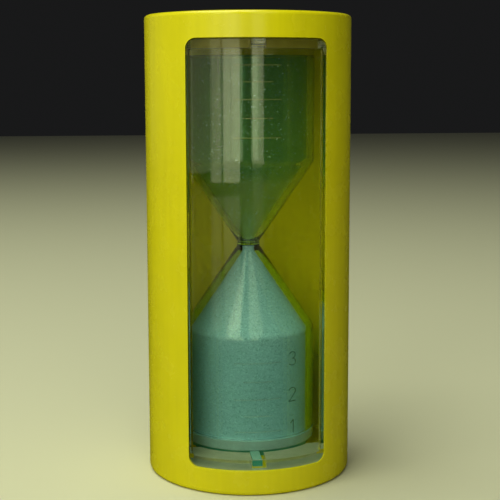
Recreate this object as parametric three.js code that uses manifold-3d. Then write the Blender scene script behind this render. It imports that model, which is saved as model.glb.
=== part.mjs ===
// Three-minute sand timer: a clear moulded vessel with sand, standing in a round
// plastic housing with one tall window and a clear insert flush in that window.
// Millimetres, +Z up, origin at the centre of the base, window facing -Y.
import * as THREE from 'three';
import Module from 'manifold-3d';
import { mergeVertices } from 'three/addons/utils/BufferGeometryUtils.js';

const wasm = await Module();
wasm.setup();

// ---- Driving dimensions -------------------------------------------------------

const SEGMENTS = 48;
const SMALL_SEGMENTS = 24;
const ARC_STEPS = 4;
const SLIDING_GAP = 0.25;
const TOUCHING_GAP = 0.1;

const HOUSING_RADIUS = 22;
const HOUSING_HEIGHT = 98.2;
const HOUSING_WALL = 2;
const RIM_FILLET = 0.9;
const BORE_RADIUS = HOUSING_RADIUS - HOUSING_WALL;

const WINDOW_HALF_ANGLE = THREE.MathUtils.degToRad(40.3);
const WINDOW_HALF_WIDTH = HOUSING_RADIUS * Math.sin(WINDOW_HALF_ANGLE);
const WINDOW_MARGIN = 5.3;
const WINDOW_CORNER = 2;

const INSERT_PANEL = 1.65;
const INSERT_SIDE_WALL = 1.05;
const INSERT_SIDE_BACK_Y = -14.2;
const INSERT_SHELF = 1.75;
const INSERT_BACK_Y = -10.5;
const SHELF_BITE_RADIUS = 15.4;
const NOTCH_WIDTH = 2.9;
const NOTCH_FRONT_Y = -20.05;

const CAP_RECESS = 0.4;
const CAP_PLATE = 2;
const CAP_SKIRT_TOP = 5;
const CAP_SKIRT_WALL = 1.5;
const SEAT_RING_RADIUS = 12.8;
const SEAT_RING_WALL = 1.4;
const CAP_RIBS = 6;
const CAP_RIB_THICKNESS = 1.2;
const CAP_RIB_TOP = 3.8;

const VESSEL_RADIUS = 14.33;
const VESSEL_WALL = 1.63;
const VESSEL_MIDDLE = 49.45;
const VESSEL_FOOT = 5.8;
const VESSEL_FOOT_RADIUS = 13.3;
const VESSEL_BASE = 7.2;
const VESSEL_FLOOR = 9.3;
const SHOULDER = 31.5;
const SHOULDER_BLEND = 1.2;
const NECK_RADIUS = 2.5;
const NECK_START = 48.85;
const NECK_BORE = 1.5;
const KEY_WIDTH = 2;
const KEY_OFFSET = -0.3;
const KEY_FRONT_Y = -19.7;

const ORIFICE_PLATE = 0.4;
const ORIFICE_RADIUS = 0.45;

const SCALE_FIRST = 11.27;
const SCALE_STEP = 3.38;
const SCALE_STEP_GROWTH = 0.2;
const SCALE_LINES = 5;
const SCALE_LONG = 9.9;
const SCALE_SHORT = 6.3;
const SCALE_TURN = THREE.MathUtils.degToRad(2);
const SCALE_LINE_WIDTH = 0.3;
const SCALE_LINE_HEIGHT = 0.15;

const SAND_GAP = 0.15;
const SAND_CONE_TOP = 47.4;
const SAND_PEAK = 49.05;
const SAND_TIP_RADIUS = 1.35;

const YELLOW = { color: 0xd6cf1c, roughness: 0.28, metalness: 0 };
const CLEAR = { color: 0xe4ece6, roughness: 0.08, metalness: 0, transparent: true, opacity: 0.35 };
const SAND = { color: 0x5c9480, roughness: 0.9, metalness: 0 };

// ---- Shape helpers --------------------------------------------------------------

// A solid of revolution about Z. The outline is a list of [radius, height] pairs that
// runs up the outside and closes on itself or on the axis.
function revolve(outline, segments = SEGMENTS) {
  const points = outline.map(([radius, height]) => new THREE.Vector2(radius, height));
  const geometry = new THREE.LatheGeometry(points, segments);
  geometry.rotateX(Math.PI / 2);
  return geometry;
}

function closedRing(outline, segments = SEGMENTS) {
  return revolve([...outline, outline[0]], segments);
}

function cylinder(radius, bottom, top, segments = SEGMENTS) {
  return revolve([[0, bottom], [radius, bottom], [radius, top], [0, top]], segments);
}

function box(min, max) {
  const size = max.map((value, axis) => value - min[axis]);
  const centre = max.map((value, axis) => (value + min[axis]) / 2);
  const geometry = new THREE.BoxGeometry(...size);
  geometry.translate(...centre);
  return geometry;
}

// A rounded rectangle seen from the front, extruded from backY towards -Y.
function frontPrism(halfWidth, bottom, top, corner, backY, depth) {
  const shape = new THREE.Shape();
  shape.moveTo(-halfWidth + corner, bottom);
  shape.lineTo(halfWidth - corner, bottom);
  shape.absarc(halfWidth - corner, bottom + corner, corner, -Math.PI / 2, 0);
  shape.lineTo(halfWidth, top - corner);
  shape.absarc(halfWidth - corner, top - corner, corner, 0, Math.PI / 2);
  shape.lineTo(-halfWidth + corner, top);
  shape.absarc(-halfWidth + corner, top - corner, corner, Math.PI / 2, Math.PI);
  shape.lineTo(-halfWidth, bottom + corner);
  shape.absarc(-halfWidth + corner, bottom + corner, corner, Math.PI, 1.5 * Math.PI);
  const options = { depth, bevelEnabled: false, curveSegments: 2 * ARC_STEPS };
  const geometry = new THREE.ExtrudeGeometry(shape, options);
  geometry.rotateX(Math.PI / 2);
  geometry.translate(0, backY, 0);
  return geometry;
}

// Points of a circular arc about [radius, height], angles in quarter turns.
function arc(radius, height, size, from, to) {
  const points = [];
  for (let step = 0; step <= ARC_STEPS; step += 1) {
    const angle = (from + ((to - from) * step) / ARC_STEPS) * (Math.PI / 2);
    points.push([radius + size * Math.cos(angle), height + size * Math.sin(angle)]);
  }
  return points;
}

// ---- Booleans -------------------------------------------------------------------

function solid(geometry) {
  const bare = geometry.clone();
  bare.deleteAttribute('normal');
  bare.deleteAttribute('uv');
  const merged = mergeVertices(bare);
  const index = merged.index.array;
  const triangles = [];
  for (let i = 0; i < index.length; i += 3) {
    const [a, b, c] = [index[i], index[i + 1], index[i + 2]];
    if (a !== b && b !== c && c !== a) {
      triangles.push(a, b, c);
    }
  }
  return new wasm.Manifold(new wasm.Mesh({
    numProp: 3,
    vertProperties: new Float32Array(merged.attributes.position.array),
    triVerts: new Uint32Array(triangles),
  }));
}

function toGeometry(manifold) {
  const mesh = manifold.getMesh();
  const geometry = new THREE.BufferGeometry();
  geometry.setAttribute('position', new THREE.BufferAttribute(mesh.vertProperties, 3));
  geometry.setIndex(new THREE.BufferAttribute(mesh.triVerts, 1));
  geometry.computeVertexNormals();
  return geometry;
}

// ---- Sub-parts ------------------------------------------------------------------

// The yellow tube, open at both ends, with rounded outer rims and the window cut in it.
function makeHousing() {
  const tube = closedRing([
    [BORE_RADIUS, 0],
    ...arc(HOUSING_RADIUS - RIM_FILLET, RIM_FILLET, RIM_FILLET, -1, 0),
    ...arc(HOUSING_RADIUS - RIM_FILLET, HOUSING_HEIGHT - RIM_FILLET, RIM_FILLET, 0, 1),
    [BORE_RADIUS, HOUSING_HEIGHT],
  ]);
  const window = frontPrism(
    WINDOW_HALF_WIDTH,
    WINDOW_MARGIN,
    HOUSING_HEIGHT - WINDOW_MARGIN,
    WINDOW_CORNER,
    -HOUSING_RADIUS / 4,
    HOUSING_RADIUS,
  );
  return toGeometry(solid(tube).subtract(solid(window)));
}

// The end cap pressed into the tube: plate, skirt, and a seat ring on six ribs.
function makeEndCap(seatTop) {
  const edge = BORE_RADIUS - TOUCHING_GAP;
  const plateTop = CAP_RECESS + CAP_PLATE;
  const seatInner = SEAT_RING_RADIUS - SEAT_RING_WALL;
  let cap = solid(revolve([
    [0, CAP_RECESS],
    [edge, CAP_RECESS],
    [edge, CAP_SKIRT_TOP],
    [edge - CAP_SKIRT_WALL, CAP_SKIRT_TOP],
    [edge - CAP_SKIRT_WALL, plateTop],
    [SEAT_RING_RADIUS, plateTop],
    [SEAT_RING_RADIUS, seatTop],
    [seatInner, seatTop],
    [seatInner, plateTop],
    [0, plateTop],
  ]));
  for (let i = 0; i < CAP_RIBS; i += 1) {
    const rib = box(
      [SEAT_RING_RADIUS - SEAT_RING_WALL / 2, -CAP_RIB_THICKNESS / 2, plateTop - CAP_PLATE / 2],
      [edge - CAP_SKIRT_WALL / 2, CAP_RIB_THICKNESS / 2, CAP_RIB_TOP],
    );
    rib.rotateZ((i * 2 * Math.PI) / CAP_RIBS);
    cap = cap.add(solid(rib));
  }
  return toGeometry(cap);
}

// The clear tray: a curved panel flush with the housing, shallow side walls and two
// shelves, each shelf with a round bite for the vessel and a notch for its key.
function makeWindowInsert() {
  const bottom = WINDOW_MARGIN + SLIDING_GAP;
  const top = HOUSING_HEIGHT - bottom;
  const halfWidth = WINDOW_HALF_WIDTH - SLIDING_GAP;
  const corner = WINDOW_CORNER - SLIDING_GAP;
  const innerHalf = halfWidth - INSERT_SIDE_WALL;
  const depth = HOUSING_RADIUS;
  const block = solid(frontPrism(halfWidth, bottom, top, corner, INSERT_BACK_Y, depth))
    .intersect(solid(cylinder(HOUSING_RADIUS, 0, HOUSING_HEIGHT)));
  const hollow = solid(box(
    [-innerHalf, -HOUSING_RADIUS, bottom + INSERT_SHELF],
    [innerHalf, 0, top - INSERT_SHELF],
  )).intersect(solid(cylinder(HOUSING_RADIUS - INSERT_PANEL, 0, HOUSING_HEIGHT)));
  const behindSides = solid(box(
    [-HOUSING_RADIUS, INSERT_SIDE_BACK_Y, bottom + INSERT_SHELF],
    [HOUSING_RADIUS, 0, top - INSERT_SHELF],
  ));
  const bite = solid(cylinder(SHELF_BITE_RADIUS, 0, HOUSING_HEIGHT));
  const notch = solid(box(
    [-NOTCH_WIDTH / 2, NOTCH_FRONT_Y, 0],
    [NOTCH_WIDTH / 2, 0, HOUSING_HEIGHT],
  ));
  const tray = block.subtract(hollow).subtract(behindSides);
  return toGeometry(tray.subtract(bite).subtract(notch));
}

// A raised scale line across the front of the bulb at one height, turned about Z.
function makeScaleLine(height, length, turn) {
  const ring = solid(closedRing([
    [VESSEL_RADIUS - VESSEL_WALL / 2, height - SCALE_LINE_WIDTH / 2],
    [VESSEL_RADIUS + SCALE_LINE_HEIGHT, height - SCALE_LINE_WIDTH / 2],
    [VESSEL_RADIUS + SCALE_LINE_HEIGHT, height + SCALE_LINE_WIDTH / 2],
    [VESSEL_RADIUS - VESSEL_WALL / 2, height + SCALE_LINE_WIDTH / 2],
  ]));
  const span = box(
    [-length / 2, -VESSEL_RADIUS * 2, height - SCALE_LINE_WIDTH],
    [length / 2, 0, height + SCALE_LINE_WIDTH],
  );
  span.rotateZ(turn);
  return ring.intersect(solid(span));
}

// Half of the vessel: cylinder, blended shoulder, cone and neck collar, open at both
// ends, with the scale lines of one, two and three minutes and the halves between. The
// lines stand a little further apart towards the neck.
function makeBulb(scaleTurn) {
  const bottom = VESSEL_FLOOR + TOUCHING_GAP;
  const top = VESSEL_MIDDLE - ORIFICE_PLATE / 2 - TOUCHING_GAP;
  const coneDrop = NECK_START - SHOULDER;
  const coneRun = VESSEL_RADIUS - NECK_RADIUS;
  const coneSide = Math.hypot(coneDrop, coneRun);
  const boreRadius = VESSEL_RADIUS - VESSEL_WALL;
  const slope = coneDrop / coneRun;
  const wallAcross = VESSEL_WALL * (coneSide / coneDrop);
  const innerHeight = (radius) => SHOULDER + (VESSEL_RADIUS - wallAcross - radius) * slope;
  let bulb = solid(closedRing([
    [boreRadius, bottom],
    [VESSEL_RADIUS, bottom],
    [VESSEL_RADIUS, SHOULDER - SHOULDER_BLEND],
    [VESSEL_RADIUS - SHOULDER_BLEND / 6, SHOULDER + SHOULDER_BLEND / 12],
    [VESSEL_RADIUS - SHOULDER_BLEND, SHOULDER + SHOULDER_BLEND * slope],
    [NECK_RADIUS, NECK_START],
    [NECK_RADIUS, top],
    [NECK_BORE, top],
    [NECK_BORE, innerHeight(NECK_BORE)],
    [boreRadius, innerHeight(boreRadius)],
  ]));
  for (let i = 0; i < SCALE_LINES; i += 1) {
    const length = i % 2 === 0 ? SCALE_LONG : SCALE_SHORT;
    const height = SCALE_FIRST + i * SCALE_STEP + (i * (i - 1) * SCALE_STEP_GROWTH) / 2;
    bulb = bulb.add(makeScaleLine(height, length, scaleTurn));
  }
  return toGeometry(bulb);
}

// The plug that closes a bulb: a disc, a foot that stands on the end cap's seat, and
// the key that stops the vessel from turning.
function makeBulbCap() {
  const plug = solid(revolve([
    [0, VESSEL_FOOT],
    [VESSEL_FOOT_RADIUS, VESSEL_FOOT],
    [VESSEL_FOOT_RADIUS, VESSEL_BASE],
    [VESSEL_RADIUS, VESSEL_BASE],
    [VESSEL_RADIUS, VESSEL_FLOOR],
    [0, VESSEL_FLOOR],
  ]));
  const key = solid(box(
    [KEY_OFFSET - KEY_WIDTH / 2, KEY_FRONT_Y, VESSEL_FOOT],
    [KEY_OFFSET + KEY_WIDTH / 2, -VESSEL_FOOT_RADIUS / 2, VESSEL_BASE],
  ));
  return toGeometry(plug.add(key));
}

// The thin disc in the neck whose hole meters the sand.
function makeOrificePlate() {
  return closedRing([
    [ORIFICE_RADIUS, VESSEL_MIDDLE - ORIFICE_PLATE / 2],
    [NECK_RADIUS, VESSEL_MIDDLE - ORIFICE_PLATE / 2],
    [NECK_RADIUS, VESSEL_MIDDLE + ORIFICE_PLATE / 2],
    [ORIFICE_RADIUS, VESSEL_MIDDLE + ORIFICE_PLATE / 2],
  ], SMALL_SEGMENTS);
}

// All the sand, run down: it fills the lower bulb from its plug up into the neck.
function makeSand() {
  const radius = VESSEL_RADIUS - VESSEL_WALL - SAND_GAP;
  const slope = (NECK_START - SHOULDER) / (VESSEL_RADIUS - NECK_RADIUS);
  return revolve([
    [0, VESSEL_FLOOR + SAND_GAP],
    [radius, VESSEL_FLOOR + SAND_GAP],
    [radius, SAND_CONE_TOP - (radius - SAND_TIP_RADIUS) * slope],
    [SAND_TIP_RADIUS, SAND_CONE_TOP],
    [SAND_TIP_RADIUS, SAND_PEAK - SAND_TIP_RADIUS / 4],
    [0, SAND_PEAK],
  ]);
}

// ---- Assembly -------------------------------------------------------------------

function mesh(name, geometry, look) {
  const piece = new THREE.Mesh(geometry, new THREE.MeshStandardMaterial(look));
  piece.name = name;
  return piece;
}

// A piece made for the lower end, put at the upper end: half a turn about the
// front-to-back line at the middle height. The vessel sits a little above the middle of
// the housing, so the top cap's seat is shorter than the bottom cap's.
function turnedOver(piece, middle) {
  piece.rotation.y = Math.PI;
  piece.position.z = 2 * middle;
  return piece;
}

const bottomSeat = VESSEL_FOOT - TOUCHING_GAP;
const topSeat = bottomSeat + HOUSING_HEIGHT - 2 * VESSEL_MIDDLE;

const vessel = new THREE.Group();
vessel.add(
  mesh('lower_bulb', makeBulb(SCALE_TURN), CLEAR),
  turnedOver(mesh('upper_bulb', makeBulb(-SCALE_TURN), CLEAR), VESSEL_MIDDLE),
  mesh('lower_bulb_cap', makeBulbCap(), CLEAR),
  turnedOver(mesh('upper_bulb_cap', makeBulbCap(), CLEAR), VESSEL_MIDDLE),
  mesh('orifice_plate', makeOrificePlate(), CLEAR),
  mesh('sand', makeSand(), SAND),
);

const casing = new THREE.Group();
casing.add(
  mesh('housing', makeHousing(), YELLOW),
  mesh('bottom_cap', makeEndCap(bottomSeat), YELLOW),
  turnedOver(mesh('top_cap', makeEndCap(topSeat), YELLOW), HOUSING_HEIGHT / 2),
  mesh('window_insert', makeWindowInsert(), CLEAR),
);

const timer = new THREE.Group();
timer.add(casing, vessel);

export default timer;
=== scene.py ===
"""Sand timer: the looks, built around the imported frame. Metres, +Z up, window facing -Y."""

import math

import bmesh
import bpy
from mathutils import Matrix, Vector


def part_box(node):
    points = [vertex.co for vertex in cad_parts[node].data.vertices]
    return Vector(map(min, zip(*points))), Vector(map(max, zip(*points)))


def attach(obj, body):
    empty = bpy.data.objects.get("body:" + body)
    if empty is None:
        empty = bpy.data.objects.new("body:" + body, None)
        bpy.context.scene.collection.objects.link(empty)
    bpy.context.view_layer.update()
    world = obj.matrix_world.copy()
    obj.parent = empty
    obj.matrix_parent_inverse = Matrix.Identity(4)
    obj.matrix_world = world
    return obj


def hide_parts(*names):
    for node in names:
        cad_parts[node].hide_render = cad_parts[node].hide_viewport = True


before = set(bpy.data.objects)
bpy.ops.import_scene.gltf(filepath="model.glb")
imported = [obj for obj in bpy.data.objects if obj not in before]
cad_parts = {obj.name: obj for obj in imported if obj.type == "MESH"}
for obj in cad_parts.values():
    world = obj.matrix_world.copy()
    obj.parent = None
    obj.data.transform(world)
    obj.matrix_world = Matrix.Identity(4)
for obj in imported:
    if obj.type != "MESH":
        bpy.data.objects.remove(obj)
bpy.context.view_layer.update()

# ---- Sizes ------------------------------------------------------------------------

MM = 0.001

# How finely round shapes are cut, and how edges are treated.
SEGMENTS = 192
PLATE_SEGMENTS = 64
ARC_STEPS = 8
CAP_ARC_STEPS = 3
PLUG_ARC_STEPS = 4
CORNER_STEPS = 12
BEVEL_ANGLE = math.radians(50)
SHARP_ANGLE = math.radians(32)
WELD_DISTANCE = 0.002 * MM
# A face belongs to a surface when its middle is this near to it, and faces a way when
# its normal points at least so much of the way there.
NEAR = 0.1 * MM
FACES_IN = 0.3
FACES_UP_OR_DOWN = 0.7
# A point this near to the axis is on it.
ON_AXIS = 1e-9

housing_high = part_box("housing")[1]
insert_low, insert_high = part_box("window_insert")
bulb_low, bulb_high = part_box("lower_bulb")
plug_low, plug_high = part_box("lower_bulb_cap")
cap_low, cap_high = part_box("bottom_cap")
top_cap_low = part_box("top_cap")[0]
plate_low, plate_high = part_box("orifice_plate")
sand_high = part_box("sand")[1]

RADIUS = housing_high.x
HEIGHT = housing_high.z
MIDDLE = HEIGHT / 2
BORE = RADIUS - 2 * MM
RIM_FILLET = 0.9 * MM
INNER_RIM_FILLET = 0.15 * MM

GAP = 0.25 * MM
WINDOW_HALF = insert_high.x + GAP
WINDOW_MARGIN = insert_low.z - GAP
WINDOW_CORNER = 2 * MM
WINDOW_EDGE = 0.3 * MM

PANEL = 1.65 * MM
SIDE_WALL = 1.05 * MM
SIDE_BACK = -14.2 * MM
SHELF = 1.75 * MM
BITE_RADIUS = 15.4 * MM
NOTCH_HALF = 1.45 * MM
NOTCH_FRONT = -20.05 * MM
INSERT_FILLET = 0.5 * MM
INSERT_EDGE = 0.12 * MM
# The rear cut leaves the shelves this much thicker than the hollow does, so that no two
# cuts end on the same line.
REAR_CUT_INSET = 0.03 * MM

CAP_PLATE = 2 * MM
CAP_SKIRT = 1.5 * MM
CAP_SKIRT_TOP = 5 * MM
CAP_FILLET = 0.2 * MM
CAP_RIBS = 6
CAP_RIB = 1.2 * MM
CAP_RIB_TOP = 3.8 * MM
CAP_RIB_ROOT = 0.5 * MM
# How far round from the front the first rib stands, as a share of the ribs' spacing.
CAP_RIB_TURN = 0.25
SEAT_RADIUS = 12.8 * MM
SEAT_WALL = 1.4 * MM

VESSEL_MIDDLE = (plate_low.z + plate_high.z) / 2
VESSEL_RADIUS = bulb_high.x
VESSEL_WALL = 1.63 * MM
VESSEL_BORE = VESSEL_RADIUS - VESSEL_WALL
SHOULDER = 31.5 * MM
SHOULDER_FILLET = 2.5 * MM
INNER_SHOULDER_FILLET = 1.5 * MM
NECK_RADIUS = plate_high.x
NECK_START = 48.85 * MM
NECK_BORE = 1.5 * MM
NECK_FILLET = 0.3 * MM
MOULD_FILLET = 0.1 * MM
CONE_SLOPE = (NECK_START - SHOULDER) / (VESSEL_RADIUS - NECK_RADIUS)
ORIFICE_RADIUS = 0.45 * MM
PLATE_FILLET = 0.08 * MM

FOOT_RADIUS = 13.3 * MM
FOOT_HEIGHT = 1.4 * MM
FOOT_FILLET = 0.15 * MM
PLUG_FILLET = 0.2 * MM
PLUG_FLOOR = plug_high.z
KEY_HALF = 1 * MM
KEY_OFFSET = -0.3 * MM

SAND_CONTACT = 0.02 * MM
SAND_CONE_TOP = 47.4 * MM
SAND_TIP_RADIUS = 1.35 * MM
SAND_FILLET = 1.5 * MM
SAND_RIM_FILLET = 0.2 * MM
SAND_TIP_FILLET = 0.05 * MM

SCALE_LINES = 5
SCALE_FIRST = 11.27 * MM
SCALE_STEP = 3.38 * MM
SCALE_STEP_GROWTH = 0.2 * MM
SCALE_TURN = math.radians(2)
SCALE_LONG = 9.9 * MM
SCALE_SHORT = 6.3 * MM
STROKE_WIDTH = 0.26 * MM
STROKE_RAISED = 0.14 * MM
STROKE_TAPER = 0.6
DIGIT_HEIGHT = 2.9 * MM
DIGIT_WIDTH = 1.8 * MM
DIGIT_CENTRE = 7.8 * MM
DIGIT_RISE = 0.4 * MM
# Faces further out than this are raised, and further aside than this are a digit's.
RAISED_FROM = VESSEL_RADIUS + 0.3 * STROKE_RAISED
DIGITS_FROM = 6.2 * MM

# ---- Mesh helpers -----------------------------------------------------------------


def add_mesh(name, verts, faces):
    """A new mesh object with its normals facing out."""
    mesh = bpy.data.meshes.new(name)
    mesh.from_pydata(verts, [], faces)
    edit = bmesh.new()
    edit.from_mesh(mesh)
    bmesh.ops.recalc_face_normals(edit, faces=edit.faces)
    edit.to_mesh(mesh)
    edit.free()
    obj = bpy.data.objects.new(name, mesh)
    bpy.context.scene.collection.objects.link(obj)
    return obj


def rounded(corners, steps=ARC_STEPS):
    """A closed outline from (x, y, fillet) corners, each corner turned into an arc."""
    outline = []
    count = len(corners)
    for i, (x, y, size) in enumerate(corners):
        here = Vector((x, y))
        if size == 0:
            outline.append(here)
            continue
        before = (Vector(corners[i - 1][:2]) - here).normalized()
        after = (Vector(corners[(i + 1) % count][:2]) - here).normalized()
        half = math.acos(max(-1, min(1, before.dot(after)))) / 2
        reach = size / math.tan(half)
        centre = here + (before + after).normalized() * (size / math.sin(half))
        start = here + before * reach - centre
        turn = start.angle_signed(here + after * reach - centre)
        for step in range(steps + 1):
            spoke = start.copy()
            spoke.rotate(Matrix.Rotation(-turn * step / steps, 2))
            outline.append(centre + spoke)
    return outline


def on_drum(radius, angle, height):
    """A point at an angle round from the front middle, anticlockwise seen from above."""
    return (radius * math.sin(angle), -radius * math.cos(angle), height)


def revolve(name, outline, segments=SEGMENTS):
    """Turns a closed (radius, height) outline about Z. It runs up the outside."""
    verts, faces, rings = [], [], []
    for radius, height in outline:
        first = len(verts)
        if radius < ON_AXIS:
            verts.append((0, 0, height))
            rings.append([first] * segments)
            continue
        for i in range(segments):
            verts.append(on_drum(radius, 2 * math.pi * i / segments, height))
        rings.append(list(range(first, first + segments)))
    for ring, above in zip(rings, rings[1:] + rings[:1]):
        for i in range(segments):
            j = (i + 1) % segments
            corners = [ring[i], ring[j], above[j], above[i]]
            face = list(dict.fromkeys(corners))
            if len(face) > 2:
                faces.append(face)
    return add_mesh(name, verts, faces)


def cylinder(name, radius):
    """A plain cylinder over the whole height of the timer, to cut with."""
    return revolve(name, rounded([
        (0, 0, 0), (radius, 0, 0), (radius, HEIGHT, 0), (0, HEIGHT, 0)
    ]))


def prism(name, half_width, bottom, top, corner, back, front):
    """A rounded rectangle seen from the front, from y = back forward to y = front."""
    outline = rounded([
        (-half_width, bottom, corner),
        (half_width, bottom, corner),
        (half_width, top, corner),
        (-half_width, top, corner),
    ], CORNER_STEPS)
    count = len(outline)
    verts = [(x, front, z) for x, z in outline] + [(x, back, z) for x, z in outline]
    faces = [list(range(count)), list(range(2 * count - 1, count - 1, -1))]
    for i in range(count):
        j = (i + 1) % count
        faces.append([j, i, i + count, j + count])
    return add_mesh(name, verts, faces)


def bake_modifiers(obj):
    """Applies every modifier of obj to its mesh."""
    graph = bpy.context.evaluated_depsgraph_get()
    graph.update()
    mesh = bpy.data.meshes.new_from_object(obj.evaluated_get(graph))
    obj.modifiers.clear()
    obj.data = mesh


def combine(base, tool, operation):
    """Applies an exact boolean of tool to base and deletes tool."""
    modifier = base.modifiers.new("combine", "BOOLEAN")
    modifier.operation = operation
    modifier.solver = "EXACT"
    modifier.object = tool
    bake_modifiers(base)
    bpy.data.objects.remove(tool)
    return base


def bevel(obj, width, segments=3):
    """Rounds off every sharp edge of obj."""
    modifier = obj.modifiers.new("edges", "BEVEL")
    modifier.width = width
    modifier.segments = segments
    modifier.limit_method = "ANGLE"
    modifier.angle_limit = BEVEL_ANGLE
    bake_modifiers(obj)


def weld(mesh):
    """Merges the points that booleans leave a hair apart."""
    shape = bmesh.new()
    shape.from_mesh(mesh)
    bmesh.ops.remove_doubles(shape, verts=shape.verts, dist=WELD_DISTANCE)
    bmesh.ops.dissolve_degenerate(shape, edges=shape.edges, dist=WELD_DISTANCE)
    shape.to_mesh(mesh)
    shape.free()


def turned_over(obj, name, middle):
    """Turns obj to the other end: half a turn about the front-to-back line at middle."""
    half_turn = Matrix.Translation((0, 0, 2 * middle)) @ Matrix.Rotation(math.pi, 4, "Y")
    obj.data.transform(half_turn)
    obj.name = name
    return obj


# ---- Housing and end caps ---------------------------------------------------------


def make_housing():
    """The yellow tube, with rounded rims and the tall window cut in its front."""
    tube = revolve("housing_shell", rounded([
        (BORE, 0, INNER_RIM_FILLET),
        (RADIUS, 0, RIM_FILLET),
        (RADIUS, HEIGHT, RIM_FILLET),
        (BORE, HEIGHT, INNER_RIM_FILLET),
    ]))
    window = prism(
        "window_cut",
        WINDOW_HALF,
        WINDOW_MARGIN,
        HEIGHT - WINDOW_MARGIN,
        WINDOW_CORNER,
        back=-RADIUS / 4,
        front=-RADIUS * 1.5,
    )
    combine(tube, window, "DIFFERENCE")
    bevel(tube, WINDOW_EDGE)
    return tube


def make_end_cap(seat_top):
    """The pressed-in end disc, with its skirt, ribs and the ring that seats the vessel."""
    edge = cap_high.x
    low = cap_low.z
    plate = low + CAP_PLATE
    inner = edge - CAP_SKIRT
    seat_inner = SEAT_RADIUS - SEAT_WALL
    cap = revolve("end_cap_bottom", rounded([
        (0, low, 0),
        (edge, low, CAP_FILLET),
        (edge, CAP_SKIRT_TOP, CAP_FILLET),
        (inner, CAP_SKIRT_TOP, CAP_FILLET),
        (inner, plate, CAP_FILLET),
        (SEAT_RADIUS, plate, CAP_FILLET),
        (SEAT_RADIUS, seat_top, CAP_FILLET),
        (seat_inner, seat_top, CAP_FILLET),
        (seat_inner, plate, CAP_FILLET),
        (0, plate, 0),
    ], CAP_ARC_STEPS))
    for i in range(CAP_RIBS):
        rib = prism(
            "rib",
            CAP_RIB / 2,
            plate - CAP_RIB_ROOT,
            CAP_RIB_TOP,
            CAP_FILLET,
            back=SEAT_WALL / 2 - SEAT_RADIUS,
            front=CAP_SKIRT / 2 - edge,
        )
        turn = 2 * math.pi * (i + CAP_RIB_TURN) / CAP_RIBS
        rib.data.transform(Matrix.Rotation(turn, 4, "Z"))
        combine(cap, rib, "UNION")
    return cap


# ---- Window insert ----------------------------------------------------------------


def make_insert():
    """The clear tray: curved panel, two side walls and two bitten, notched shelves."""
    bottom, top = insert_low.z, insert_high.z
    half = insert_high.x
    back = insert_high.y
    far = -2 * RADIUS
    tray = prism("clear_insert", half, bottom, top, WINDOW_CORNER - GAP, back, far)
    combine(tray, cylinder("outside", RADIUS), "INTERSECT")
    hollow = prism(
        "hollow", half - SIDE_WALL, bottom + SHELF, top - SHELF, INSERT_FILLET, 0, far
    )
    combine(hollow, cylinder("core", RADIUS - PANEL), "INTERSECT")
    combine(tray, hollow, "DIFFERENCE")
    step = SHELF + REAR_CUT_INSET
    behind = prism("behind", RADIUS, bottom + step, top - step, INSERT_FILLET, 0, SIDE_BACK)
    combine(tray, behind, "DIFFERENCE")
    combine(tray, cylinder("bite", BITE_RADIUS), "DIFFERENCE")
    notch = prism("notch", NOTCH_HALF, 0, HEIGHT, 0, 0, NOTCH_FRONT)
    combine(tray, notch, "DIFFERENCE")
    bevel(tray, INSERT_EDGE, 2)
    return tray


# ---- Vessel -----------------------------------------------------------------------


def stroke(name, path):
    """A raised line on the bulb. path is points (along, height) from the front middle."""
    inside = VESSEL_RADIUS - VESSEL_WALL / 2
    outside = VESSEL_RADIUS + STROKE_RAISED
    verts, faces = [], []
    for i, point in enumerate(path):
        ahead = path[min(i + 1, len(path) - 1)] - path[max(i - 1, 0)]
        side = Vector((-ahead.y, ahead.x)).normalized() * STROKE_WIDTH / 2
        for radius, along, height in (
            (inside, *(point + side)),
            (outside, *(point + side * STROKE_TAPER)),
            (outside, *(point - side * STROKE_TAPER)),
            (inside, *(point - side)),
        ):
            verts.append(on_drum(radius, along / VESSEL_RADIUS, height))
    for i in range(len(path) - 1):
        for k in range(4):
            m = (k + 1) % 4
            faces.append([4 * i + k, 4 * i + 4 + k, 4 * i + 4 + m, 4 * i + m])
    end = 4 * (len(path) - 1)
    faces += [[0, 1, 2, 3], [end + 3, end + 2, end + 1, end]]
    return add_mesh(name, verts, faces)


def straight(start, end, steps):
    """Points on a straight line, near enough together to follow the bulb round."""
    start, end = Vector(start), Vector(end)
    return [start.lerp(end, i / steps) for i in range(steps + 1)]


def curve(centre, width, height, start, end, steps=14):
    """Points on an ellipse from start to end, in degrees anticlockwise from the right."""
    points = []
    for i in range(steps + 1):
        angle = math.radians(start + (end - start) * i / steps)
        points.append(Vector((
            centre[0] + width * math.cos(angle), centre[1] + height * math.sin(angle)
        )))
    return points


def digit_paths(digit, centre):
    """The strokes of one, two or three, as centre lines round (along, height) centre."""
    x, y = centre
    half_w, half_h = DIGIT_WIDTH / 2, DIGIT_HEIGHT / 2
    if digit == 1:
        top = (x + half_w / 3, y + half_h)
        flag = straight((x - half_w / 2, y + half_h / 2), top, 4)
        return [flag, straight(top, (top[0], y - half_h), 8)]
    if digit == 2:
        bowl = curve((x, y + half_h / 2), half_w, half_h / 2, 165, -35)
        corner = (x - half_w, y - half_h)
        leg = straight(bowl[-1], corner, 6)
        return [bowl, leg, straight(corner, (x + half_w, y - half_h), 6)]
    upper = curve((x, y + half_h / 2), half_w * 0.9, half_h / 2, 150, -90)
    lower = curve((x, y - half_h / 2), half_w, half_h / 2, 90, -150)
    return [upper, lower]


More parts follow.
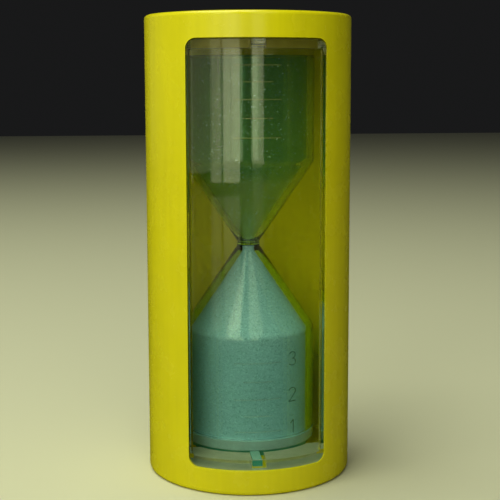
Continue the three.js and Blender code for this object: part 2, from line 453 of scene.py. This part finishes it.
def scale_paths(shift):
    """Lines for whole and half minutes, and a digit to the right of each whole one.

    The lines stand a little further apart towards the neck.
    """
    paths = []
    for i in range(SCALE_LINES):
        height = SCALE_FIRST + i * SCALE_STEP + i * (i - 1) / 2 * SCALE_STEP_GROWTH
        whole = i % 2 == 0
        half = (SCALE_LONG if whole else SCALE_SHORT) / 2
        paths.append(straight((shift - half, height), (shift + half, height), 16))
        if whole:
            paths += digit_paths(1 + i // 2, (shift + DIGIT_CENTRE, height + DIGIT_RISE))
    return paths


def make_bulb(scale_turn):
    """Half of the vessel with its raised scale lines and digits, turned about Z."""
    bottom, top = bulb_low.z, bulb_high.z
    wall_across = VESSEL_WALL * math.hypot(1, 1 / CONE_SLOPE)

    def inner_height(radius):
        return SHOULDER + (VESSEL_RADIUS - wall_across - radius) * CONE_SLOPE

    bulb = revolve("bulb_lower", rounded([
        (VESSEL_BORE, bottom, 0),
        (VESSEL_RADIUS, bottom, MOULD_FILLET),
        (VESSEL_RADIUS, SHOULDER, SHOULDER_FILLET),
        (NECK_RADIUS, NECK_START, NECK_FILLET),
        (NECK_RADIUS, top, MOULD_FILLET),
        (NECK_BORE, top, 0),
        (NECK_BORE, inner_height(NECK_BORE), NECK_FILLET),
        (VESSEL_BORE, inner_height(VESSEL_BORE), INNER_SHOULDER_FILLET),
    ]))
    for path in scale_paths(scale_turn * VESSEL_RADIUS):
        combine(bulb, stroke("stroke", path), "UNION")
    return bulb


def make_plug():
    """Closes a bulb: disc, foot, and the key that sits in the insert's notch."""
    base = plug_low.z + FOOT_HEIGHT
    plug = revolve("plug_lower", rounded([
        (0, plug_low.z, 0),
        (FOOT_RADIUS, plug_low.z, FOOT_FILLET),
        (FOOT_RADIUS, base, MOULD_FILLET),
        (VESSEL_RADIUS, base, PLUG_FILLET),
        (VESSEL_RADIUS, PLUG_FLOOR, MOULD_FILLET),
        (0, PLUG_FLOOR, 0),
    ], PLUG_ARC_STEPS))
    key = prism(
        "key", KEY_HALF, plug_low.z, base, FOOT_FILLET, -FOOT_RADIUS / 2, plug_low.y
    )
    key.data.transform(Matrix.Translation((KEY_OFFSET, 0, 0)))
    return combine(plug, key, "UNION")


def make_neck_plate():
    """The thin disc between the bulbs, whose hole meters the sand."""
    return revolve("neck_plate", rounded([
        (ORIFICE_RADIUS, plate_low.z, 0),
        (NECK_RADIUS, plate_low.z, PLATE_FILLET),
        (NECK_RADIUS, plate_high.z, PLATE_FILLET),
        (ORIFICE_RADIUS, plate_high.z, 0),
    ], PLUG_ARC_STEPS), PLATE_SEGMENTS)


def make_sand():
    """The run-down sand: it fills the lower bulb from its plug into the cone."""
    radius = sand_high.x
    floor = PLUG_FLOOR - SAND_CONTACT
    shoulder = SAND_CONE_TOP - (radius - SAND_TIP_RADIUS) * CONE_SLOPE
    return revolve("sand_fill", rounded([
        (0, floor, 0),
        (radius, floor, 0),
        (radius, shoulder, SAND_FILLET),
        (SAND_TIP_RADIUS, SAND_CONE_TOP, SAND_RIM_FILLET),
        (SAND_TIP_RADIUS, sand_high.z - SAND_TIP_RADIUS / 4, SAND_TIP_FILLET),
        (0, sand_high.z, 0),
    ]))


# ---- Materials --------------------------------------------------------------------

# The lower bulb's plastic takes out red light with depth, per metre.
VESSEL_TINT = (0.0, 0.86, 0.85)
VESSEL_DENSITY = 140
# The sand's dust lies thickest in the upper bulb's drum, from about this height up.
DUST_LEVEL = 66 * MM
DUST_WANDER = 5 * MM
DUST_FADE = 1.5 * MM
DUST_GRAIN = 0.2 * MM
SAND_GRAIN = 0.22 * MM


class Nodes:
    """A material's node tree, with short calls for the nodes used here."""

    def __init__(self, name):
        self.material = bpy.data.materials.new(name)
        self.material.use_nodes = True
        self.tree = self.material.node_tree
        self.tree.nodes.clear()
        self.output = self.add("ShaderNodeOutputMaterial")
        self.shader = self.add("ShaderNodeBsdfPrincipled")
        self.link(self.shader.outputs[0], self.output.inputs["Surface"])
        coordinates = self.add("ShaderNodeTexCoord")
        self.place = coordinates.outputs["Object"]

    def add(self, kind, **settings):
        """A new node of a kind, with its settings."""
        node = self.tree.nodes.new(kind)
        for key, value in settings.items():
            setattr(node, key, value)
        return node

    def link(self, source, target):
        self.tree.links.new(source, target)

    def feed(self, name, source):
        """Links a node's output to the shader's input of that name."""
        self.link(source, self.shader.inputs[name])

    def set(self, **values):
        """Sets the shader's own sockets."""
        for key, value in values.items():
            self.shader.inputs[key.replace("_", " ")].default_value = value

    def scaled(self, size, stretch=(1, 1, 1)):
        """The place on the piece, counted in steps of size metres."""
        mapping = self.add("ShaderNodeMapping")
        mapping.inputs["Scale"].default_value = [s / size for s in stretch]
        self.link(self.place, mapping.inputs["Vector"])
        return mapping.outputs[0]

    def noise(self, size, detail=2, stretch=(1, 1, 1), rough=0.5):
        """Noise whose lumps are about size metres across."""
        noise = self.add("ShaderNodeTexNoise")
        noise.inputs["Scale"].default_value = 1
        noise.inputs["Detail"].default_value = detail
        noise.inputs["Roughness"].default_value = rough
        self.link(self.scaled(size, stretch), noise.inputs["Vector"])
        return noise.outputs["Fac"]

    def cells(self, size):
        """Voronoi cells about size metres across."""
        cells = self.add("ShaderNodeTexVoronoi")
        cells.inputs["Scale"].default_value = 1
        self.link(self.scaled(size), cells.inputs["Vector"])
        return cells.outputs

    def grains(self, size):
        """Random numbers from 0 to 1 that stay the same all over one cell."""
        channels = self.add("ShaderNodeSeparateColor")
        self.link(self.cells(size)["Color"], channels.inputs[0])
        return channels.outputs

    def height(self):
        """Height above the base, in metres."""
        axes = self.add("ShaderNodeSeparateXYZ")
        self.link(self.place, axes.inputs[0])
        return axes.outputs["Z"]

    def ramp(self, source, *stops):
        """stops are (position, colour or number)."""
        ramp = self.add("ShaderNodeValToRGB")
        elements = ramp.color_ramp.elements
        while len(elements) < len(stops):
            elements.new(0.5)
        for element, (position, value) in zip(elements, stops):
            element.position = position
            colour = (value,) * 3 if isinstance(value, (int, float)) else value
            element.color = (*colour, 1)
        self.link(source, ramp.inputs["Fac"])
        return ramp.outputs["Color"]

    def mottled(self, size, detail, dark, light):
        """A colour that wanders from dark to light in patches about size metres across."""
        return self.ramp(self.noise(size, detail), (0.3, dark), (0.7, light))

    def mix(self, factor, first, second, blend="MIX"):
        """Blends two colours. Each argument is a node's output or a plain value."""
        mix = self.add("ShaderNodeMix", data_type="RGBA", blend_type=blend)
        for name, value in (("Factor", factor), ("A", first), ("B", second)):
            socket = next(s for s in mix.inputs if s.name == name and s.enabled)
            if isinstance(value, (int, float)):
                socket.default_value = value
            elif isinstance(value, tuple):
                socket.default_value = (*value, 1)
            else:
                self.link(value, socket)
        return next(s for s in mix.outputs if s.enabled)

    def maths(self, operation, first, second):
        """Sums on numbers. Each argument is a node's output or a plain value."""
        node = self.add("ShaderNodeMath", operation=operation)
        for socket, value in zip(node.inputs, (first, second)):
            if isinstance(value, (int, float)):
                socket.default_value = value
            else:
                self.link(value, socket)
        return node.outputs[0]

    def bump(self, height, strength, distance):
        """Fine relief, up to distance metres high."""
        bump = self.add("ShaderNodeBump")
        bump.inputs["Strength"].default_value = strength
        bump.inputs["Distance"].default_value = distance
        self.link(height, bump.inputs["Height"])
        self.feed("Normal", bump.outputs[0])

    def absorb(self, colour, density):
        """Plastic that darkens with depth."""
        volume = self.add("ShaderNodeVolumeAbsorption")
        volume.inputs["Color"].default_value = (*colour, 1)
        volume.inputs["Density"].default_value = density
        self.link(volume.outputs[0], self.output.inputs["Volume"])

    def let_lamps_through(self, tint):
        """Shadow rays pass straight through, so that the lamps light what is behind."""
        clear = self.add("ShaderNodeBsdfTransparent")
        clear.inputs["Color"].default_value = (*tint, 1)
        path = self.add("ShaderNodeLightPath")
        mix = self.add("ShaderNodeMixShader")
        self.link(path.outputs["Is Shadow Ray"], mix.inputs[0])
        self.link(self.shader.outputs[0], mix.inputs[1])
        self.link(clear.outputs[0], mix.inputs[2])
        self.link(mix.outputs[0], self.output.inputs["Surface"])


def yellow_plastic():
    """Gloss moulding with a faint cloudiness, flow streaks and uneven polish."""
    n = Nodes("yellow_plastic")
    tone = n.mottled(14 * MM, 3, (0.77, 0.69, 0.004), (0.82, 0.74, 0.007))
    streaks = n.ramp(
        n.noise(1.5 * MM, detail=3, stretch=(1, 1, 0.06)), (0.35, 0.25), (0.65, 1)
    )
    n.feed("Base Color", n.mix(0.06, tone, streaks, "MULTIPLY"))
    n.feed("Roughness", n.ramp(n.noise(5 * MM, detail=5), (0.35, 0.2), (0.7, 0.32)))
    n.set(IOR=1.5, Coat_Weight=0.12, Coat_Roughness=0.1)
    n.bump(n.noise(0.8 * MM), strength=0.04, distance=0.05 * MM)
    return n.material


def frosted_shelf_painted_light(name, dark, light):
    """A shelf's faces, left matt by the mould. Their colour, from dark to light, is painted
    light from the housing round them, not the plastic's own.
    """
    n = Nodes(name)
    n.feed("Base Color", n.mottled(2 * MM, 4, dark, light))
    n.set(Transmission_Weight=0.55, IOR=1.49, Roughness=0.3)
    n.let_lamps_through((0.75, 0.8, 0.78))
    return n.material


def clear_insert_plastic():
    """Polished clear plastic with handling smudges and a slight moulding ripple."""
    n = Nodes("clear_insert_plastic")
    n.set(Transmission_Weight=1.0, IOR=1.49)
    n.feed("Base Color", n.mottled(9 * MM, 2, (0.95, 0.97, 0.94), (0.975, 0.985, 0.965)))
    smudge = n.noise(7 * MM, detail=5, stretch=(1, 1, 0.5))
    n.feed("Roughness", n.ramp(smudge, (0.45, 0.015), (0.75, 0.07)))
    n.bump(n.noise(3 * MM, stretch=(1, 1, 0.25)), strength=0.03, distance=0.03 * MM)
    n.let_lamps_through((0.97, 0.98, 0.96))
    return n.material


def clear_vessel_plastic(name, density, dark=(0.96, 0.985, 0.96), light=(0.985, 0.995, 0.98)):
    """Clear plastic. It tints by depth where density isn't 0, and by its two colours."""
    n = Nodes(name)
    n.set(Transmission_Weight=1.0, IOR=1.5)
    n.feed("Base Color", n.mottled(6 * MM, 2, dark, light))
    n.feed("Roughness", n.ramp(n.noise(4 * MM, detail=4), (0.4, 0.004), (0.8, 0.03)))
    if density:
        n.absorb(VESSEL_TINT, density)
    n.let_lamps_through((0.99, 0.995, 0.985))
    return n.material


def dusty_wall(name, cone, drum):
    """A bulb's inside wall, with sand dust clinging to it in an uneven film.

    cone and drum are (thin dust colour, thick dust colour, share that is clear).
    """
    n = Nodes(name)
    level = n.maths("ADD", n.height(), n.maths("MULTIPLY", n.noise(9 * MM), DUST_WANDER))
    reach = n.maths("DIVIDE", n.maths("SUBTRACT", level, DUST_LEVEL), DUST_FADE)
    in_drum = n.ramp(reach, (0.0, 0), (1.0, 1))
    dust = n.ramp(n.noise(0.4 * MM, detail=4, rough=0.7), (0.4, 0), (0.62, 1))
    film = n.mix(in_drum, n.mix(dust, cone[0], cone[1]), n.mix(dust, drum[0], drum[1]))
    grain = n.ramp(n.grains(DUST_GRAIN)[0], (0.98, 0), (0.99, 1))
    n.feed("Base Color", n.mix(grain, film, (0.62, 0.8, 0.6)))
    share = n.ramp(reach, (0.0, cone[2]), (1.0, drum[2]))
    n.feed("Transmission Weight", n.mix(grain, share, (0.3, 0.3, 0.3)))
    n.set(IOR=1.5, Roughness=0.06)
    n.let_lamps_through((0.98, 0.99, 0.97))
    return n.material


def frosted_line_painted_light(name, dark, light, clear=0.35):
    """The raised scale lines and digits, frosted. dark and light are painted light: each copy
    is coloured for the light and shade round it on its bulb.
    """
    n = Nodes(name)
    n.feed("Base Color", n.mottled(0.5 * MM, 2, dark, light))
    n.set(Transmission_Weight=clear, IOR=1.5, Roughness=0.25)
    n.let_lamps_through((0.6, 0.7, 0.6))
    return n.material


def painted_sand_glow_plastic():
    """The lower plug: clear plastic with a painted glow, coloured like the sand it carries,
    and a foot painted darker as painted shade.
    """
    n = Nodes("painted_sand_glow_plastic")
    above_foot = n.ramp(n.maths("DIVIDE", n.height(), 10 * MM), (0.69, 0), (0.74, 1))
    disc = n.mottled(1.2 * MM, 3, (0.26, 0.48, 0.5), (0.3, 0.56, 0.6))
    # Painted shade on the foot and key, painted sand glow on the disc above.
    n.feed("Base Color", n.mix(above_foot, (0.06, 0.36, 0.3), disc))
    n.set(Transmission_Weight=0.35, IOR=1.5, Roughness=0.06)
    n.let_lamps_through((0.5, 0.7, 0.6))
    return n.material


def teal_sand():
    """Fine dyed sand: grains of slightly different tone, with a few dark specks."""
    n = Nodes("teal_sand")
    grain = n.grains(SAND_GRAIN)
    tone = n.ramp(
        grain[0],
        (0.0, (0.22, 0.36, 0.41)),
        (0.12, (0.35, 0.49, 0.6)),
        (0.75, (0.39, 0.53, 0.67)),
        (1.0, (0.48, 0.66, 0.78)),
    )
    specks = n.ramp(n.noise(0.45 * MM, detail=1), (0.76, 1), (0.80, 0.25))
    n.feed("Base Color", n.mix(1, tone, specks, "MULTIPLY"))
    n.feed("Roughness", n.ramp(grain[1], (0, 0.6), (1, 0.95)))
    n.bump(n.cells(SAND_GRAIN)["Distance"], strength=0.3, distance=0.06 * MM)
    return n.material


# ---- Dressing the pieces ----------------------------------------------------------


def give_materials(mesh, *materials):
    """Replaces the mesh's material slots."""
    mesh.materials.clear()
    for material in materials:
        mesh.materials.append(material)


def dress_bulb(obj, clear, inside, lines, digits):
    """Clear outside, another look inside, frosted on the raised lines and digits."""
    give_materials(obj.data, clear, inside, lines, digits)
    for face in obj.data.polygons:
        across = face.center.xy.length
        outward = face.center.xy.normalized().dot(face.normal.xy)
        if outward < -FACES_IN and across < VESSEL_BORE + NEAR:
            face.material_index = 1
        elif across > RAISED_FROM:
            face.material_index = 3 if abs(face.center.x) > DIGITS_FROM else 2
        else:
            face.material_index = 0


def dress_insert(obj, clear, lower, upper):
    """Clear panel, and frosted faces on the two shelves."""
    give_materials(obj.data, clear, lower, upper)
    for face in obj.data.polygons:
        deep = face.center.y > PANEL - RADIUS - NEAR
        shelf = abs(face.center.z - MIDDLE) > MIDDLE - insert_low.z - SHELF - NEAR
        level = abs(face.normal.z) > FACES_UP_OR_DOWN
        biting = face.center.xy.length < BITE_RADIUS + 2 * NEAR
        if shelf and (biting or deep and level):
            face.material_index = 1 if face.center.z < MIDDLE else 2
        else:
            face.material_index = 0


def finish_piece(obj, material, slot, *nodes):
    """Smooth shading, material, and the piece's place in the frame."""
    mesh = obj.data
    weld(mesh)
    mesh.polygons.foreach_set("use_smooth", [True] * len(mesh.polygons))
    mesh.set_sharp_from_angle(angle=SHARP_ANGLE)
    if material:
        give_materials(mesh, material)
    # At full weight the largest faces decide the shading, so flats stay flat.
    flat_weighted = obj.modifiers.new("normals", "WEIGHTED_NORMAL")
    flat_weighted.weight = 100
    flat_weighted.keep_sharp = True
    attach(obj, "root")
    if nodes:
        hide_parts(*nodes)
    return obj


# ---- Camera, lights and floor -----------------------------------------------------

# A long lens, a little lower than the window's top and a little to the window's left,
# looking slightly down. The lens is in its own millimetres.
CAMERA_AZIMUTH = math.radians(-5.93)
CAMERA_DISTANCE = 245.7 * MM
CAMERA_HEIGHT = 84.8 * MM
CAMERA_PITCH = math.radians(-7.32)
CAMERA_YAW = math.radians(-0.09)
CAMERA_ROLL = math.radians(-0.13)
CAMERA_LENS = 81.8
CAMERA_SHIFT = -0.05

LIGHT_COLOUR = (1.0, 1.03, 0.62)
WORLD_COLOUR = (0.95, 0.97, 1.0)
WORLD_STRENGTH = 0.01
FLOOR_COLOUR = (0.72, 0.72, 0.7)
FLOOR_HALF = 1.5


def around(azimuth, distance, height):
    """A point at an azimuth from the camera's side of the timer, in degrees and metres."""
    angle = CAMERA_AZIMUTH + math.radians(azimuth)
    return Vector(on_drum(distance, angle, height))


def make_camera():
    """The camera, turned towards the timer's axis but for a small yaw and roll."""
    data = bpy.data.cameras.new("camera")
    data.lens = CAMERA_LENS
    data.shift_y = CAMERA_SHIFT
    data.clip_start = 10 * MM
    camera = bpy.data.objects.new("camera", data)
    bpy.context.scene.collection.objects.link(camera)
    camera.matrix_world = (
        Matrix.Translation(around(0, CAMERA_DISTANCE, CAMERA_HEIGHT))
        @ Matrix.Rotation(CAMERA_AZIMUTH + CAMERA_YAW, 4, "Z")
        @ Matrix.Rotation(math.radians(90) + CAMERA_PITCH, 4, "X")
        @ Matrix.Rotation(CAMERA_ROLL, 4, "Z")
    )
    bpy.context.scene.camera = camera


def make_bank(name, low, high, width, radiance, mirrored=True):
    """A long soft light whose middle line runs from low to high, facing the timer.

    One that isn't mirrored doesn't show in reflections or through the clear pieces.
    """
    data = bpy.data.lights.new(name, "AREA")
    data.shape = "RECTANGLE"
    data.size = width
    data.size_y = (high - low).length
    data.energy = radiance * math.pi * data.size * data.size_y
    data.color = LIGHT_COLOUR
    light = bpy.data.objects.new(name, data)
    light.visible_camera = False
    light.visible_glossy = mirrored
    light.visible_transmission = mirrored
    bpy.context.scene.collection.objects.link(light)
    middle = (low + high) / 2
    along = (high - low).normalized()
    facing = Vector((0, 0, MIDDLE)) - middle
    side = along.cross(-facing).normalized()
    back = side.cross(along).normalized()
    light.matrix_world = Matrix.Translation(middle) @ Matrix(
        (side, along, back)
    ).transposed().to_4x4()


def make_lights():
    """A tent of soft banks round the left, a narrow one to the right, and a dim world.

    Each row is a name, the low and high ends as around() takes them, width and radiance.
    """
    for name, low, high, width, radiance in (
        ("bank_key", (-18, 0.62, 0.01), (-18, 0.62, 0.26), 0.2, 1.6),
        ("bank_key_high", (-19.5, 0.6, 0.27), (-57, 0.214, 0.52), 0.17, 1.9),
        ("bank_strip", (11, 0.8, 0.01), (11, 0.8, 0.3), 0.17, 1.3),
        ("bank_strip_high", (11.5, 0.78, 0.31), (33, 0.131, 0.5), 0.18, 1.0),
        ("bank_wing", (-35, 0.62, 0.01), (-35, 0.62, 0.6), 0.13, 1.15),
        ("bank_side", (-56, 0.7, 0.01), (-56, 0.7, 0.7), 0.36, 0.43),
        ("bank_far", (-104, 0.7, 0.01), (-104, 0.7, 0.7), 0.9, 0.16),
        ("bank_top", (-150, 0.35, 0.75), (-30, 0.35, 0.75), 0.5, 4.1),
        # Dim ends below the floor, for the faint lower ends of the window's streaks.
        ("bank_key_low", (-18, 0.62, -0.1), (-18, 0.62, 0), 0.2, 0.45),
        ("bank_wing_low", (-35, 0.62, -0.1), (-35, 0.62, 0), 0.13, 0.34),
        ("bank_side_low", (-56, 0.7, -0.1), (-56, 0.7, 0), 0.36, 0.07),
        ("bank_strip_low", (11, 0.8, -0.1), (11, 0.8, 0), 0.17, 0.16),
    ):
        make_bank(name, around(*low), around(*high), width, radiance)
    fill_low, fill_high = around(-8, 0.08, 0.075), around(-8, 0.08, 0.12)
    make_bank("bank_fill", fill_low, fill_high, 0.03, 1.15, mirrored=False)
    world = bpy.data.worlds.new("world")
    bpy.context.scene.world = world
    world.use_nodes = True
    background = world.node_tree.nodes["Background"]
    background.inputs["Color"].default_value = (*WORLD_COLOUR, 1)
    background.inputs["Strength"].default_value = WORLD_STRENGTH


def make_floor():
    """A plain pale floor, which reflections and the clear pieces leave out.

    The window would otherwise mirror it as a pale haze, and hide the banks below it.
    """
    floor = add_mesh("floor", [
        (-FLOOR_HALF, -FLOOR_HALF, 0),
        (FLOOR_HALF, -FLOOR_HALF, 0),
        (FLOOR_HALF, FLOOR_HALF, 0),
        (-FLOOR_HALF, FLOOR_HALF, 0),
    ], [[0, 1, 2, 3]])
    n = Nodes("pale_floor")
    n.set(Base_Color=(*FLOOR_COLOUR, 1), Roughness=0.7)
    give_materials(floor.data, n.material)
    floor.visible_glossy = False
    floor.visible_transmission = False


# ---- Assembly ---------------------------------------------------------------------

make_camera()
make_lights()
make_floor()

yellow = yellow_plastic()
lower_clear = clear_vessel_plastic("clear_vessel_plastic", VESSEL_DENSITY)
upper_clear = clear_vessel_plastic(
    "clear_upper_plastic", 0, dark=(0.58, 0.83, 0.72), light=(0.64, 0.87, 0.78)
)
plug_clear = clear_vessel_plastic("clear_plug_plastic", 0)

bottom_cap = make_end_cap(cap_high.z)
top_cap = turned_over(make_end_cap(HEIGHT - top_cap_low.z), "end_cap_top", MIDDLE)
lower_bulb = make_bulb(SCALE_TURN)
upper_bulb = turned_over(make_bulb(-SCALE_TURN), "bulb_upper", VESSEL_MIDDLE)
lower_plug = make_plug()
upper_plug = turned_over(make_plug(), "plug_upper", VESSEL_MIDDLE)

finish_piece(make_housing(), yellow, "housing_plastic", "housing")
finish_piece(bottom_cap, yellow, "housing_plastic", "bottom_cap")
finish_piece(top_cap, yellow, "housing_plastic", "top_cap")
insert = make_insert()
dress_insert(
    insert,
    clear_insert_plastic(),
    # Painted shade: the lower shelf is coloured a dark grey-green for the shade under and
    # round it.
    frosted_shelf_painted_light("frosted_shelf_lower_painted_shade", (0.28, 0.36, 0.28), (0.4, 0.47, 0.4)),
    # Painted glow: the upper shelf is coloured yellow for the light of the yellow housing
    # round it.
    frosted_shelf_painted_light("frosted_shelf_upper_painted_glow", (0.74, 0.66, 0.14), (0.86, 0.78, 0.2)),
)
finish_piece(insert, None, "insert_clear", "window_insert")
dress_bulb(
    lower_bulb,
    lower_clear,
    lower_clear,
    # Painted light: pale teal lines, coloured like the lit sand behind them.
    frosted_line_painted_light("fine_line_lower_painted_light", (0.5, 0.7, 0.64), (0.6, 0.8, 0.74), 0.9),
    # Painted shade: dark digits.
    frosted_line_painted_light("digit_lower_painted_shade", (0.08, 0.18, 0.13), (0.1, 0.22, 0.16)),
)
dress_bulb(
    upper_bulb,
    upper_clear,
    dusty_wall(
        "dusty_wall_upper",
        cone=((0.54, 0.74, 0.6), (0.7, 0.83, 0.74), 0.93),
        drum=((0.27, 0.56, 0.39), (0.42, 0.68, 0.52), 0.92),
    ),
    # Painted glow: olive yellow lines, for the yellow housing's light round the upper bulb.
    frosted_line_painted_light("fine_line_upper_painted_glow", (0.42, 0.46, 0.14), (0.52, 0.56, 0.2), 0.62),
    # Painted light: pale digits.
    frosted_line_painted_light("digit_upper_painted_light", (0.5, 0.62, 0.4), (0.6, 0.72, 0.5), 0.9),
)
finish_piece(lower_bulb, None, "vessel_clear", "lower_bulb")
finish_piece(upper_bulb, None, "vessel_clear", "upper_bulb")
finish_piece(lower_plug, painted_sand_glow_plastic(), "vessel_clear", "lower_bulb_cap")
finish_piece(upper_plug, plug_clear, "vessel_clear", "upper_bulb_cap")
finish_piece(make_neck_plate(), lower_clear, "vessel_clear", "orifice_plate")
finish_piece(make_sand(), teal_sand(), "green_sand", "sand")

scene = bpy.context.scene
scene.view_settings.view_transform = "Standard"
scene.cycles.max_bounces = 24
scene.cycles.transmission_bounces = 20
scene.cycles.transparent_max_bounces = 24
